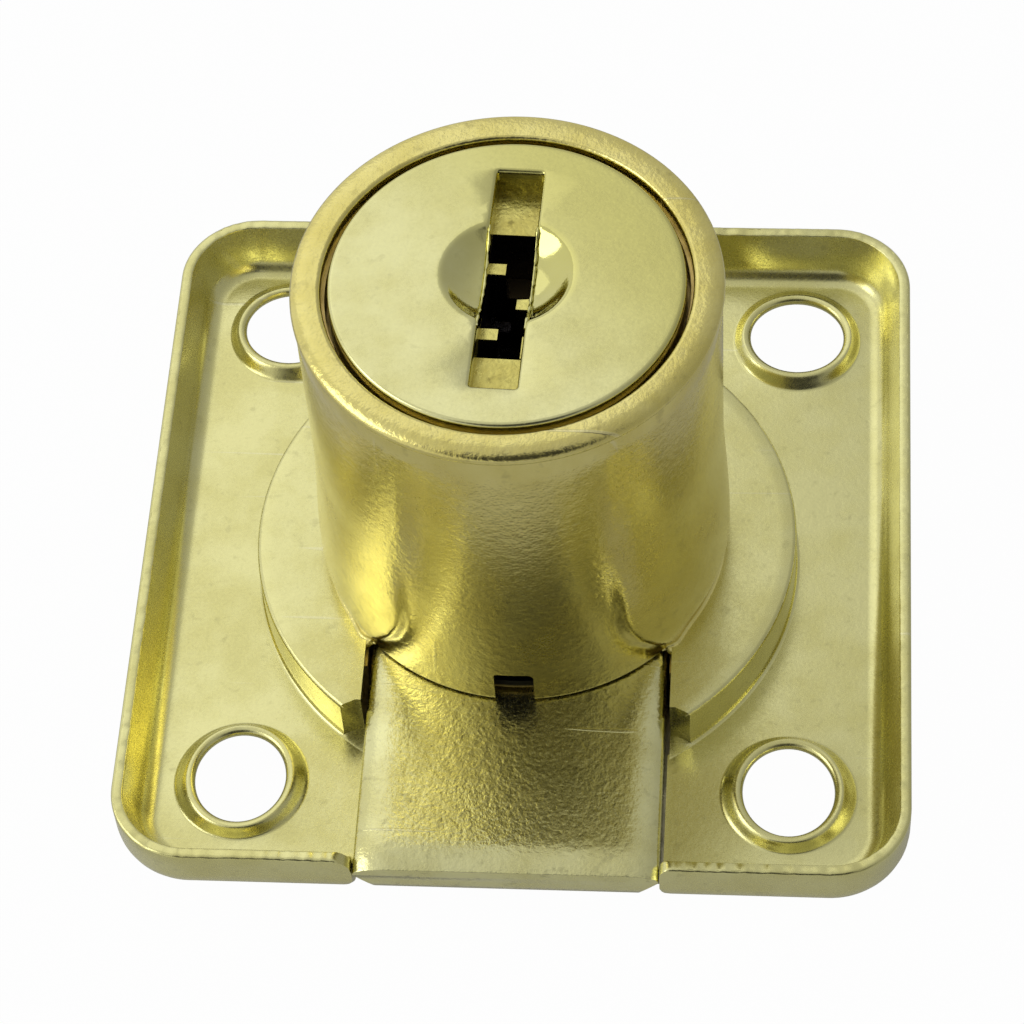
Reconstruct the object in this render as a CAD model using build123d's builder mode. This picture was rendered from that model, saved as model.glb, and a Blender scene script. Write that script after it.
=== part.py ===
"""A cabinet drawer lock: a drawn square case with a barrel, a wafer plug and a flat sliding bolt.

Millimetres. The origin lies on the barrel's axis at the rear face of the back plate. +Z points out of
the barrel's end, where the key goes in, and the bolt slides out towards -Y.
"""
import os
from math import atan2, degrees

from build123d import *

# Driving sizes: a barrel 19 mm across and 22 mm long, the trade size of such locks
barrel_radius = 9.5
barrel_length = 22.0
case_width = 36.9
case_reach_front = 18.45
case_reach_rear = 19.1
case_corner = 3.7
rim_height = 2.6
floor_sheet = 1.0
wall_sheet = 0.7
back_sheet = 1.0
boss_sheet = 0.6
flange_sheet = 0.75
boss_radius = 13.0
bolt_width = 14.0
bolt_throw = 7.0
plug_radius = 6.5
wafer_count = 6

# Levels, counted up from the rear face
case_rear = back_sheet
floor_top = case_rear + floor_sheet
rim_top = floor_top + rim_height
boss_top = rim_top
boss_under = boss_top - boss_sheet
barrel_end = floor_top + barrel_length
flange_under = barrel_end - flange_sheet
cut_over = 1.0  # how far a cutter runs past the face that it opens

# The tray and its four screw seats
rim_edge_wall = 0.55
rim_foot_wall = 0.95
bend_outside = 2.0
bend_inside = 0.9
rim_edge_bevel = 0.15
rim_end_cut = 1.6
rim_end_break = 0.4
corner_reach = 2.5
screw_pitch_x = 25.7
screw_y_front = -12.8
screw_y_rear = 13.8
screw_hole_radius = 2.25
seat_foot_radius = 3.2
seat_crest_radius = 2.6
seat_crest_height = 0.5
seat_lip_drop = 0.15
seat_mouth_radius = 3.6
seat_mouth_depth = 0.9

# The boss, the barrel and its foot, which swells a little beside the bolt
boss_wall = 0.9
boss_edge_bevel = 0.25
floor_hole_radius = boss_radius - 0.1
barrel_bore = barrel_radius - wall_sheet
barrel_end_round = 0.3
barrel_mouth_radius = 8.22
swell_radius = barrel_radius + 0.3
swell_level = boss_top + 1.9
swell_top = boss_top + 9.4
foot_radius = barrel_radius + 0.15
foot_bevel = 0.35
arch_half_width = 4.8
arch_spring_level = boss_top + 5.2
arch_middle_half_width = 5.55
arch_middle_level = boss_top + 2.5
arch_foot_radius = barrel_radius - 0.08
arch_head_radius = barrel_radius - 0.01

# The bolt and the way it lies in the case
bolt_under = case_rear + 0.05
bolt_top = rim_top - 0.34
bolt_nose_y = -case_reach_front - 0.03
bolt_side_round = 1.0
bolt_nose_round = 2.0
bolt_corner_cut = 1.6
bolt_step_y = 4.9
bolt_rear_y = 8.2
bolt_rear_top = 3.55
channel_half = bolt_width / 2 + 0.15
boss_slit_half = bolt_width / 2 + 0.36
channel_ceiling = bolt_top + 0.14
channel_rear_y = 8.4
slit_reach = 10.9
boss_trim_y = -9.95
boss_trim_half = 8.5
relief_half = 8.1
relief_rear_y = -8.8
relief_front_y = -10.35
relief_top = boss_top - 0.55
notch_width = 1.85
notch_top = channel_ceiling + 2.1
notch_corner = 0.35

# The plug, its drive peg and the key's way in
running_gap = 0.05
plug_rear = bolt_top + 0.24
drive_offset = bolt_throw / 2
peg_radius = 1.4
peg_end = case_rear + 0.3
peg_bevel = 0.3
peg_play = 0.8
slot_end_play = 0.2
slot_corner = 0.6
cap_face = barrel_end + 0.05
cap_sheet = 0.5
cap_radius = 7.93
cap_edge_bevel = 0.15
head_radius = cap_radius - cap_sheet
head_seat = cap_face - 2.0
skirt_end = cap_face - 1.5
counterbore_radius = 8.1
key_slot_width = 2.1
key_slot_length = 12.05
key_lean = -2.5  # the slot stands a little askew when the bolt is home
key_rise = 0.2
ledge_drop = 1.4
keyway_height = 6.95
keyway_end = 7.0
ward_width = 0.6
left_ward_depth = 0.8
left_ward_places = [1.5, -2.15]
right_ward_depth = 0.65
right_ward_place = -0.4
corner_ward_depth = 0.2
corner_ward_width = 1.2
corner_ward_place = -2.8
dimple_radius = 2.9
dimple_rise = 0.5
dimple_depth = 1.0
dimple_sphere = (dimple_radius**2 + dimple_depth**2) / (2 * dimple_depth)
dimple_centre = cap_face + dimple_sphere - dimple_depth

# Wafers and springs
wafer_first_level = 9.0
wafer_pitch = 2.0
wafer_sheet = 1.0
wafer_half_width = 3.4
wafer_radius = plug_radius - running_gap
wafer_travel = 0.6
wafer_window_width = 2.3
wafer_window_height = 5.6
wafer_tab_reach = 4.85
wafer_tab_half_height = 0.5
wafer_tab_play = 0.1
key_cut_step = 0.25
key_cuts = [1, 3, 2, 4, 2, 3]
groove_radius = plug_radius + wafer_travel + 0.15
groove_half_width = wafer_half_width + 0.2
groove_start = 7.4
spring_radius = 0.52
spring_wire = 0.11
spring_bore = 0.65
spring_turns = 2.0
spring_centre_x = 4.2
spring_seat_y = -3.5
retainer_level = 5.7
retainer_half_width = 1.9
retainer_tip = plug_radius + 0.7
retainer_tail_y = -1.0
retainer_travel = 0.75
retainer_groove_radius = retainer_tip + 0.2
retainer_groove_width = wafer_sheet + 0.3
retainer_spring_end_y = 1.9
slot_gap = 0.05

# The liner's foot inside the boss and its lugs, which hold the back plate
liner_foot_radius = boss_radius - boss_wall
liner_foot_front_y = -7.5
lug_radius = 0.9
lug_places = [(9.7, -3.5), (-9.7, -3.5), (9.0, 5.2), (-9.0, 5.2)]

# The back plate: a round cover with a tongue under the bolt
cover_radius = 14.0
tongue_half_width = 8.2
tongue_front_y = -16.6
tongue_corner = 1.5

os.makedirs("parts", exist_ok=True)
screw_places = [
    (side * screw_pitch_x / 2, y) for side in (-1, 1) for y in (screw_y_front, screw_y_rear)
]


def hand_over(piece, name):
    """Label a finished piece and write it."""
    piece.label = name
    export_step(piece, f"parts/{name}.step")


# One pressed screw seat: a low round bump whose crest falls towards the hole
with BuildPart() as screw_seat:
    seat_top = floor_top + seat_crest_height
    with BuildSketch(Plane.XZ):
        with BuildLine():
            Polyline(
                (screw_hole_radius, seat_top - seat_lip_drop),
                (screw_hole_radius, case_rear),
                (seat_foot_radius, case_rear),
                (seat_foot_radius, floor_top),
                (seat_crest_radius, seat_top),
                close=True,
            )
        make_face()
    revolve(axis=Axis.Z)

# What is cut away in front of the barrel: the bolt's slit through the boss and, above it, the
# arch between the two swellings of the barrel's foot, whose wall leans in by a hair
with BuildPart() as front_arch:
    with BuildSketch(Plane.XZ):
        with BuildLine():
            Line((-boss_slit_half, 0), (boss_slit_half, 0))
            for side in (-1, 1):
                Line((side * boss_slit_half, 0), (side * boss_slit_half, channel_ceiling))
                ThreePointArc(
                    (side * boss_slit_half, channel_ceiling),
                    (side * arch_middle_half_width, arch_middle_level),
                    (side * arch_half_width, arch_spring_level),
                )
                Line((side * arch_half_width, arch_spring_level), (side * arch_half_width, swell_top))
            Line((-arch_half_width, swell_top), (arch_half_width, swell_top))
        make_face()
    extrude(amount=slit_reach)
    with Locations((0, 0, channel_ceiling)):
        Cone(
            arch_foot_radius,
            arch_head_radius,
            swell_top - channel_ceiling,
            align=(Align.CENTER, Align.CENTER, Align.MIN),
            mode=Mode.SUBTRACT,
        )

# The case: tray, screw seats, boss and barrel in one drawn piece
with BuildPart() as lock_case:
    tray_length = case_reach_front + case_reach_rear
    tray_centre_y = (case_reach_rear - case_reach_front) / 2
    rim_draft = degrees(atan2(rim_foot_wall - rim_edge_wall, rim_height))
    with BuildSketch(Plane.XY.offset(case_rear)):
        with Locations((0, tray_centre_y)):
            RectangleRounded(case_width, tray_length, case_corner)
    extrude(amount=rim_top - case_rear)
    fillet(lock_case.faces().sort_by(Axis.Z)[0].edges(), bend_outside)
    chamfer(lock_case.faces().sort_by(Axis.Z)[-1].edges(), rim_edge_bevel)
    with BuildSketch(Plane.XY.offset(floor_top)):
        with Locations((0, tray_centre_y)):
            RectangleRounded(
                case_width - 2 * rim_foot_wall,
                tray_length - 2 * rim_foot_wall,
                case_corner - rim_foot_wall,
            )
    extrude(amount=rim_height, taper=-rim_draft, mode=Mode.SUBTRACT)
    floor_face = lock_case.faces().filter_by(Axis.Z).group_by(Axis.Z)[1]
    fillet(floor_face.edges(), bend_inside)
    with Locations(*[(x, y, case_rear) for x, y in screw_places]):
        Cylinder(
            seat_foot_radius,
            floor_sheet,
            align=(Align.CENTER, Align.CENTER, Align.MIN),
            mode=Mode.SUBTRACT,
        )
    with Locations(*screw_places):
        add(screw_seat.part)
    with Locations(*[(x, y, case_rear) for x, y in screw_places]):
        Cone(
            seat_mouth_radius,
            screw_hole_radius,
            seat_mouth_depth,
            align=(Align.CENTER, Align.CENTER, Align.MIN),
            mode=Mode.SUBTRACT,
        )
    with BuildSketch(Plane.XY.offset(case_rear)):
        Circle(floor_hole_radius)
    extrude(amount=floor_sheet, mode=Mode.SUBTRACT)
    with BuildSketch(Plane.XZ):
        with BuildLine():
            Polyline(
                (boss_radius, case_rear),
                (boss_radius, boss_top - boss_edge_bevel),
                (boss_radius - boss_edge_bevel, boss_top),
                (foot_radius + foot_bevel, boss_top),
                (foot_radius, boss_top + foot_bevel),
            )
            Spline(
                (foot_radius, boss_top + foot_bevel),
                (swell_radius, swell_level),
                (barrel_radius, swell_top),
                tangents=[(0.1, 1), (0, 1)],
            )
            Line((barrel_radius, swell_top), (barrel_radius, barrel_end - barrel_end_round))
            RadiusArc(
                (barrel_radius, barrel_end - barrel_end_round),
                (barrel_radius - barrel_end_round, barrel_end),
                -barrel_end_round,
            )
            Polyline(
                (barrel_radius - barrel_end_round, barrel_end),
                (barrel_mouth_radius, barrel_end),
                (barrel_mouth_radius, flange_under),
                (barrel_bore, flange_under),
                (barrel_bore, boss_under),
                (boss_radius - boss_wall, boss_under),
                (boss_radius - boss_wall, case_rear),
                (boss_radius, case_rear),
            )
        make_face()
    revolve(axis=Axis.Z)
    add(front_arch.part, mode=Mode.SUBTRACT)
    # The bolt's channel through the rim and the floor, and under the barrel's front wall
    with BuildSketch(Plane.XY):
        with Locations((0, -slit_reach)):
            Rectangle(2 * channel_half, case_reach_front, align=(Align.CENTER, Align.MAX))
    extrude(amount=barrel_end, mode=Mode.SUBTRACT)
    with BuildSketch(Plane.XY):
        with Locations((0, -barrel_radius)):
            Rectangle(2 * boss_slit_half, barrel_radius / 2, align=(Align.CENTER, Align.MIN))
    extrude(amount=channel_ceiling, mode=Mode.SUBTRACT)
    # The boss's front corners: trimmed straight on top and left open below, beside the bolt
    with BuildSketch(Plane.XY.offset(floor_top)):
        with Locations((0, boss_trim_y)):
            Rectangle(2 * boss_trim_half, boss_radius / 4, align=(Align.CENTER, Align.MAX))
    extrude(amount=rim_height, mode=Mode.SUBTRACT)
    with BuildSketch(Plane.XY.offset(case_rear)):
        with Locations((0, relief_front_y)):
            Rectangle(
                2 * relief_half, relief_rear_y - relief_front_y, align=(Align.CENTER, Align.MIN)
            )
    extrude(amount=relief_top - case_rear, mode=Mode.SUBTRACT)
    # The rim's two ends beside the bolt, cut back below and broken on top
    for side in (-1, 1):
        end_x = side * channel_half
        with BuildSketch(Plane.XZ.offset(case_reach_front - corner_reach)):
            with BuildLine():
                Polyline(
                    (end_x, case_rear),
                    (end_x + side * rim_end_cut, case_rear),
                    (end_x, case_rear + rim_end_cut),
                    close=True,
                )
            make_face()
            with BuildLine():
                Polyline(
                    (end_x, rim_top),
                    (end_x + side * rim_end_break, rim_top),
                    (end_x, rim_top - rim_end_break),
                    close=True,
                )
            make_face()
        extrude(amount=corner_reach + cut_over, mode=Mode.SUBTRACT)
    # The release notch at the foot of the barrel
    with BuildSketch(Plane.XZ):
        with Locations((0, channel_ceiling - cut_over)):
            notch_shape = Rectangle(
                notch_width, notch_top - channel_ceiling + cut_over, align=(Align.CENTER, Align.MIN)
            )
        fillet(notch_shape.vertices().group_by(Axis.Z)[-1], notch_corner)
    extrude(amount=barrel_radius + cut_over, mode=Mode.SUBTRACT)
hand_over(lock_case.part, "lock_case")

# The zinc liner: a sleeve with a foot in the boss
with BuildPart() as barrel_liner:
    with BuildSketch(Plane.XZ):
        with BuildLine():
            Polyline(
                (plug_radius + running_gap, case_rear),
                (liner_foot_radius, case_rear),
                (liner_foot_radius, boss_under),
                (barrel_bore, boss_under),
                (barrel_bore, flange_under),
                (counterbore_radius, flange_under),
                (counterbore_radius, head_seat - running_gap),
                (plug_radius + running_gap, head_seat - running_gap),
                close=True,
            )
        make_face()
    revolve(axis=Axis.Z)
    # The bolt's way through the foot, and the open front of the boss
    with BuildSketch(Plane.XY):
        with Locations((0, channel_rear_y)):
            Rectangle(2 * channel_half, 2 * boss_radius, align=(Align.CENTER, Align.MAX))
    extrude(amount=plug_rear, mode=Mode.SUBTRACT)
    with BuildSketch(Plane.XY):
        with Locations((0, liner_foot_front_y)):
            Rectangle(2 * boss_radius, boss_radius, align=(Align.CENTER, Align.MAX))
    extrude(amount=plug_rear, mode=Mode.SUBTRACT)
    # Two long grooves, where the wafers stand out when the plug is locked
    with BuildSketch(Plane.XY.offset(groove_start)):
        Circle(groove_radius)
        Rectangle(2 * groove_half_width, 3 * plug_radius, mode=Mode.INTERSECT)
    extrude(amount=head_seat - groove_start, mode=Mode.SUBTRACT)
    # The ring groove of the retaining wafer, with the hole through which it is pressed
    with BuildSketch(Plane.XY.offset(retainer_level - retainer_groove_width / 2)):
        Circle(retainer_groove_radius)
    extrude(amount=retainer_groove_width, mode=Mode.SUBTRACT)
    with BuildSketch(Plane.XZ):
        with Locations((0, retainer_level)):
            Rectangle(notch_width, retainer_groove_width)
    extrude(amount=barrel_radius, mode=Mode.SUBTRACT)
    # Lugs, spread in the holes of the back plate
    with Locations(*lug_places):
        Cylinder(lug_radius, back_sheet, align=(Align.CENTER, Align.CENTER, Align.MIN))
hand_over(barrel_liner.part, "barrel_liner")

# The back plate
with BuildPart() as back_plate:
    with BuildSketch():
        Circle(cover_radius)
        with Locations((0, tongue_front_y)):
            Rectangle(2 * tongue_half_width, cover_radius, align=(Align.CENTER, Align.MIN))
    extrude(amount=back_sheet)
    tongue_corners = back_plate.edges().filter_by(Axis.Z).group_by(Axis.Y)[0]
    fillet(tongue_corners, tongue_corner)
    with Locations(*lug_places):
        Cylinder(
            lug_radius,
            back_sheet,
            align=(Align.CENTER, Align.CENTER, Align.MIN),
            mode=Mode.SUBTRACT,
        )
hand_over(back_plate.part, "back_plate")

# The bolt: a full-height nose, a lower tail that passes under the boss, and a cross slot for the peg
with BuildPart() as bolt:
    with BuildSketch(Plane.YZ):
        with BuildLine():
            Polyline(
                (bolt_nose_y + bolt_nose_round, bolt_under),
                (bolt_rear_y, bolt_under),
                (bolt_rear_y, bolt_rear_top),
                (bolt_step_y, bolt_rear_top),
                (bolt_step_y, bolt_top),
                (bolt_nose_y, bolt_top),
                (bolt_nose_y, bolt_under + bolt_nose_round),
            )
            RadiusArc(
                (bolt_nose_y, bolt_under + bolt_nose_round),
                (bolt_nose_y + bolt_nose_round, bolt_under),
                -bolt_nose_round,
            )
        make_face()
    extrude(amount=bolt_width / 2, both=True)
    top_face = bolt.faces().filter_by(Axis.Z).sort_by(Axis.Z)[-1]
    fillet(top_face.edges().filter_by(Axis.Y), bolt_side_round)
    with BuildSketch(Plane.XY.offset(bolt_under)):
        with Locations((0, drive_offset)):
            Rectangle(
                2 * (drive_offset + peg_radius + slot_end_play), 2 * (peg_radius + peg_play)
            )
    extrude(amount=bolt_top, mode=Mode.SUBTRACT)
    inner_half = bolt_width / 2 - cut_over
    slot_edges = bolt.edges().filter_by(Axis.Z).filter_by_position(Axis.X, -inner_half, inner_half)
    fillet(slot_edges, slot_corner)
    # The nose's lower corners
    for side in (-1, 1):
        corner_x = side * bolt_width / 2
        with BuildSketch(Plane.XZ.offset(-bolt_nose_y - corner_reach)):
            with BuildLine():
                Polyline(
                    (corner_x, bolt_under),
                    (corner_x - side * bolt_corner_cut, bolt_under),
                    (corner_x, bolt_under + bolt_corner_cut),
                    close=True,
                )
            make_face()
        extrude(amount=corner_reach + cut_over, mode=Mode.SUBTRACT)
hand_over(bolt.part, "bolt")

# The plug: head, wafer slots, keyway with its wards, and the drive peg at the rear
key_plane = Plane.XY.rotated((0, 0, key_lean)).shift_origin((0, key_rise, 0))
with BuildPart() as plug_body:
    with BuildSketch(Plane.XZ):
        with BuildLine():
            Polyline(
                (0, plug_rear),
                (plug_radius, plug_rear),
                (plug_radius, head_seat),
                (cap_radius, head_seat),
                (cap_radius, skirt_end),
                (head_radius, skirt_end),
                (head_radius, cap_face - cap_sheet),
                (0, cap_face - cap_sheet),
                close=True,
            )
        make_face()
    revolve(axis=Axis.Z)
    with Locations((0, dimple_rise, dimple_centre)):
        Sphere(dimple_sphere + cap_sheet, mode=Mode.SUBTRACT)
    with BuildSketch(key_plane.offset(cap_face - ledge_drop)):
        Rectangle(key_slot_width, key_slot_length)
    extrude(amount=ledge_drop, mode=Mode.SUBTRACT)
    with BuildSketch(key_plane.offset(keyway_end)):
        Rectangle(key_slot_width, keyway_height)
        with Locations(*[(-key_slot_width / 2, place) for place in left_ward_places]):
            Rectangle(2 * left_ward_depth, ward_width, mode=Mode.SUBTRACT)
        with Locations((key_slot_width / 2, right_ward_place)):
            Rectangle(2 * right_ward_depth, ward_width, mode=Mode.SUBTRACT)
        with Locations((key_slot_width / 2, corner_ward_place)):
            Rectangle(2 * corner_ward_depth, corner_ward_width, mode=Mode.SUBTRACT)
    extrude(amount=cap_face - ledge_drop - keyway_end, mode=Mode.SUBTRACT)
    for number in range(wafer_count):
        level = wafer_first_level + number * wafer_pitch
        side = 1 if number % 2 == 0 else -1
        with BuildSketch(Plane.XY.offset(level - wafer_sheet / 2 - slot_gap)):
            Rectangle(2 * (wafer_half_width + slot_gap), 3 * plug_radius)
            with Locations((0, side * (wafer_travel + wafer_tab_play) / 2)):
                Rectangle(
                    wafer_tab_reach + wafer_tab_play,
                    2 * (wafer_tab_half_height + slot_gap) + wafer_travel + wafer_tab_play,
                    align=(Align.MIN if side > 0 else Align.MAX, Align.CENTER),
                )
        extrude(amount=wafer_sheet + 2 * slot_gap, mode=Mode.SUBTRACT)
        spring_mouth = Plane(
            origin=(side * spring_centre_x, 0, level), x_dir=(1, 0, 0), z_dir=(0, -side, 0)
        )
        with BuildSketch(spring_mouth):
            Circle(spring_bore)
        extrude(amount=-spring_seat_y, mode=Mode.SUBTRACT)
    # The retaining wafer's slot and its spring's bore
    with BuildSketch(Plane.XY.offset(retainer_level - wafer_sheet / 2 - slot_gap)):
        with Locations((0, retainer_tail_y + retainer_travel + wafer_tab_play)):
            Rectangle(
                2 * (retainer_half_width + slot_gap), plug_radius, align=(Align.CENTER, Align.MAX)
            )
    extrude(amount=wafer_sheet + 2 * slot_gap, mode=Mode.SUBTRACT)
    with BuildSketch(Plane(origin=(0, retainer_tail_y, retainer_level), x_dir=(1, 0, 0), z_dir=(0, 1, 0))):
        Circle(spring_bore)
    extrude(amount=retainer_spring_end_y - retainer_tail_y, mode=Mode.SUBTRACT)
    with BuildSketch(Plane.XY.offset(peg_end)):
        with Locations((0, drive_offset)):
            Circle(peg_radius)
    extrude(amount=plug_rear - peg_end)
    chamfer(plug_body.edges().sort_by(Axis.Z)[0], peg_bevel)
hand_over(plug_body.part, "plug_body")

# The stamped cap, with the key-guide dimple and the key slot
dimple_place = (0, dimple_rise, dimple_centre)
with BuildPart() as dimple_cup:
    with Locations(dimple_place):
        Sphere(dimple_sphere + cap_sheet)
    with Locations((0, dimple_rise, cap_face - cap_sheet)):
        Cylinder(
            dimple_sphere,
            2 * dimple_depth,
            align=(Align.CENTER, Align.CENTER, Align.MAX),
            mode=Mode.INTERSECT,
        )
with BuildPart() as plug_cap:
    with BuildSketch(Plane.XZ):
        with BuildLine():
            Polyline(
                (0, cap_face),
                (cap_radius - cap_edge_bevel, cap_face),
                (cap_radius, cap_face - cap_edge_bevel),
                (cap_radius, skirt_end),
                (head_radius, skirt_end),
                (head_radius, cap_face - cap_sheet),
                (0, cap_face - cap_sheet),
                close=True,
            )
        make_face()
    revolve(axis=Axis.Z)
    add(dimple_cup.part)
    with Locations(dimple_place):
        Sphere(dimple_sphere, mode=Mode.SUBTRACT)
    with BuildSketch(key_plane.offset(cap_face)):
        Rectangle(key_slot_width, key_slot_length)
    extrude(amount=-2 * dimple_depth - cap_sheet, mode=Mode.SUBTRACT)
hand_over(plug_cap.part, "plug_cap")


def coil_spring(length):
    """A small coil spring standing on the origin along +Z."""
    coil_radius = spring_radius - spring_wire
    with BuildPart() as coil:
        with BuildLine():
            turns = Helix(
                pitch=(length - 2 * spring_wire) / spring_turns,
                height=length - 2 * spring_wire,
                radius=coil_radius,
                center=(0, 0, spring_wire),
            )
        with BuildSketch(Plane(origin=turns @ 0, z_dir=turns % 0)):
            RegularPolygon(spring_wire, 3)
        sweep(is_frenet=True)
    return coil.part


# Six wafers, each with a spring under its side tab; every second one faces the other way
for number in range(wafer_count):
    level = wafer_first_level + number * wafer_pitch
    turned = number % 2 == 1
    window_lift = (key_cuts[number] - max(key_cuts) / 2) * key_cut_step
    with BuildPart() as wafer:
        with BuildSketch():
            Circle(wafer_radius)
            Rectangle(2 * wafer_half_width, 3 * plug_radius, mode=Mode.INTERSECT)
            Rectangle(wafer_tab_reach, 2 * wafer_tab_half_height, align=(Align.MIN, Align.CENTER))
            with Locations((0, window_lift)):
                Rectangle(wafer_window_width, wafer_window_height, mode=Mode.SUBTRACT)
        extrude(amount=wafer_sheet / 2, both=True)
    place = Pos(0, 0, level) * Rot(0, 0, 180 if turned else 0)
    hand_over(place * wafer.part, f"wafer_{number + 1}")
    spring = coil_spring(-spring_seat_y - wafer_tab_half_height - slot_gap)
    seat = Pos(spring_centre_x, spring_seat_y, 0) * Rot(-90, 0, 0)
    hand_over(place * seat * spring, f"wafer_spring_{number + 1}")

# The retaining wafer and its spring
with BuildPart() as retaining_wafer:
    with BuildSketch(Plane.XY.offset(retainer_level)):
        Circle(retainer_tip)
        with Locations((0, retainer_tail_y)):
            Rectangle(
                2 * retainer_half_width,
                retainer_tip,
                align=(Align.CENTER, Align.MAX),
                mode=Mode.INTERSECT,
            )
    extrude(amount=wafer_sheet / 2, both=True)
hand_over(retaining_wafer.part, "retaining_wafer")
retainer_seat = Pos(0, retainer_spring_end_y, retainer_level) * Rot(90, 0, 0)
retainer_spring = coil_spring(retainer_spring_end_y - retainer_tail_y - slot_gap)
hand_over(retainer_seat * retainer_spring, "retaining_spring")
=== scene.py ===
"""Looks of the drawer lock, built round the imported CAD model.

Sizes are in millimetres until a mesh is made. The table and the lamps are in metres.
"""

import math

import bmesh
import bpy
import numpy as np
from mathutils import Matrix, Vector
from mathutils.geometry import delaunay_2d_cdt


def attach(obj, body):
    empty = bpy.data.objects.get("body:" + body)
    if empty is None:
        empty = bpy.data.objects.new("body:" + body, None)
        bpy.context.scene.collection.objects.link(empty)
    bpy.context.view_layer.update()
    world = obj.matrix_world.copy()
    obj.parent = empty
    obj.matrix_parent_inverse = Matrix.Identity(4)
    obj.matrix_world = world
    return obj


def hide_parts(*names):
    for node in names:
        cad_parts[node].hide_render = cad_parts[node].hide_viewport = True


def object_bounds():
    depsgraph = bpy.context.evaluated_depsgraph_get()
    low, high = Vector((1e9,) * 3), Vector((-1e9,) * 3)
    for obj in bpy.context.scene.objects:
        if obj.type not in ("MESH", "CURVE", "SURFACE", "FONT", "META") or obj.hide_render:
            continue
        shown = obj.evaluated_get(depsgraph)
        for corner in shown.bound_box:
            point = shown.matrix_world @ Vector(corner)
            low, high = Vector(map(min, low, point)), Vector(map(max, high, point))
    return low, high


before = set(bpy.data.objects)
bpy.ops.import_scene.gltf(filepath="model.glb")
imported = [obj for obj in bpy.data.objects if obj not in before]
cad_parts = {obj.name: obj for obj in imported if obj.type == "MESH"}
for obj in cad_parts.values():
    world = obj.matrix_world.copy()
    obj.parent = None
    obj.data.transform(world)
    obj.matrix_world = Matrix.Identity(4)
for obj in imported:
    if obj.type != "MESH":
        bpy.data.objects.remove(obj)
cad_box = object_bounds()

MM = 0.001

# Tray: a floor with four pressed screw seats and a turned-up rim

CASE_REAR = 1.0
FLOOR = 2.0
CASE_HALF = 18.45
CASE_BACK = 19.1
CASE_CORNER = 3.7
CHANNEL_HALF = 7.15
RIM_TOP = 4.6
RIM_INSET = 2.0  # from the rim's outside to the foot of its inner wall
RIM_WALL = 0.55  # thickness near the edge
RIM_INNER_EDGE = 0.08
RIM_OUTER_EDGE = 0.16
RIM_BEND = 0.9
RIM_BEND_INSET = 1.908
RIM_LEAN = 14.93  # degrees, of the inner wall
RIM_TOOTH = 0.06
RIM_END = 7.05  # half the gap between the rim's two ends
RIM_END_UNDER = 2.42  # level where the oblique cut meets the front
RIM_END_UNDER_ROUND = 0.5
RIM_END_RIGHT_ROUND = 0.6
RIM_END_LEFT_ROUND = 1.05
CORNER_SLOPE = 1.565  # of the oblique cuts under the rim's ends and the bolt's nose
SEAT_ACROSS = 25.7
SEAT_ALONG = 26.6
SEAT_MIDDLE = 0.5
SEAT_HOLE = 2.25
SEAT_FOOT = 3.25
SEAT_RISE = 0.5
SEAT_CREST = 0.27
SEAT_SLOPE_FOOT = 3.22
SEAT_SLOPE_TOP = 2.58
FRONT_SEAT_DRAW = (-0.05, 0.055)  # growth across and along
REAR_SEAT_DRAW = (0.04, -0.02)

# How finely the tray is cut up

RIM_END_STEPS = 42
RIM_CORNER_STEPS = 24
RIM_SIDE_STEPS = 120
SEAT_STEPS = 72

# Boss, slit for the bolt

BOSS = 13.0
BOSS_BORE = 12.1
BOSS_INSIDE = 9.4
BOSS_UNDER = 4.0
BOSS_EDGE = 0.22
BOSS_FLARE = ((0.2, 0.0), (0.08, 0.02), (0.02, 0.08), (0.0, 0.2))
SLIT_HALF = 7.24
SLIT_CEILING = 4.4  # where the barrel's front wall ends, over the bolt
SLIT_RELIEF = [(-8.6, -15), (8.6, -15), (8.6, -10.3), (7.5, -9.75), (-7.5, -9.75), (-8.6, -10.3)]

# Barrel, with a swollen foot beside the bolt and a wall pressed flat over it

BARREL = 9.5
BARREL_BORE = 8.8
BARREL_MOUTH = 8.22
BARREL_MOUTH_ROUND = 0.2
BARREL_END = 24.0
END_SHEET = 0.75
SWELL = 0.3  # how far the foot stands out
SWELL_LEVEL = 6.3
SWELL_TOP = 14.0
WALL_MIDDLE = 9.6  # radius on which sideways places on the wall are measured
SWOLLEN_FOOT = 9.85
FOOT_ROUND = 0.16
FOOT_TUCK = 0.12
BESIDE_TUCK = 0.2
PRESSED_FOOT = 9.42  # radius of the wall's lower end over the bolt
ARCH_LEVELS = (4.4, 5.7, 7.0, 8.3, 9.3, 14.0)
ARCH_HALVES = (7.3, 6.3, 5.5, 5.04, 4.88, 4.8)  # half widths of the pressed wall at these levels
# The rolled end's outside, as (radius, level)
END_NECK = [(9.49, 23.05), (9.43, 23.2), (9.43, 23.3), (9.5, 23.38)]
END_LIP = [(9.57, 23.46), (9.6, 23.54), (9.59, 23.63), (9.54, 23.74)]
END_ROLL = [(9.45, 23.82), (9.3, 23.9), (9.12, 23.965), (8.98, 23.99), (8.88, BARREL_END)]
END_REAR_FULLNESS = 0.36
NOTCH_HALF = 0.925
NOTCH_TOP = 6.5
NOTCH_RIGHT_ROUND = 0.35
NOTCH_LEFT_ROUND = 0.2

# Bolt, with rounded sides and a nose with its lower corners cut

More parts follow.
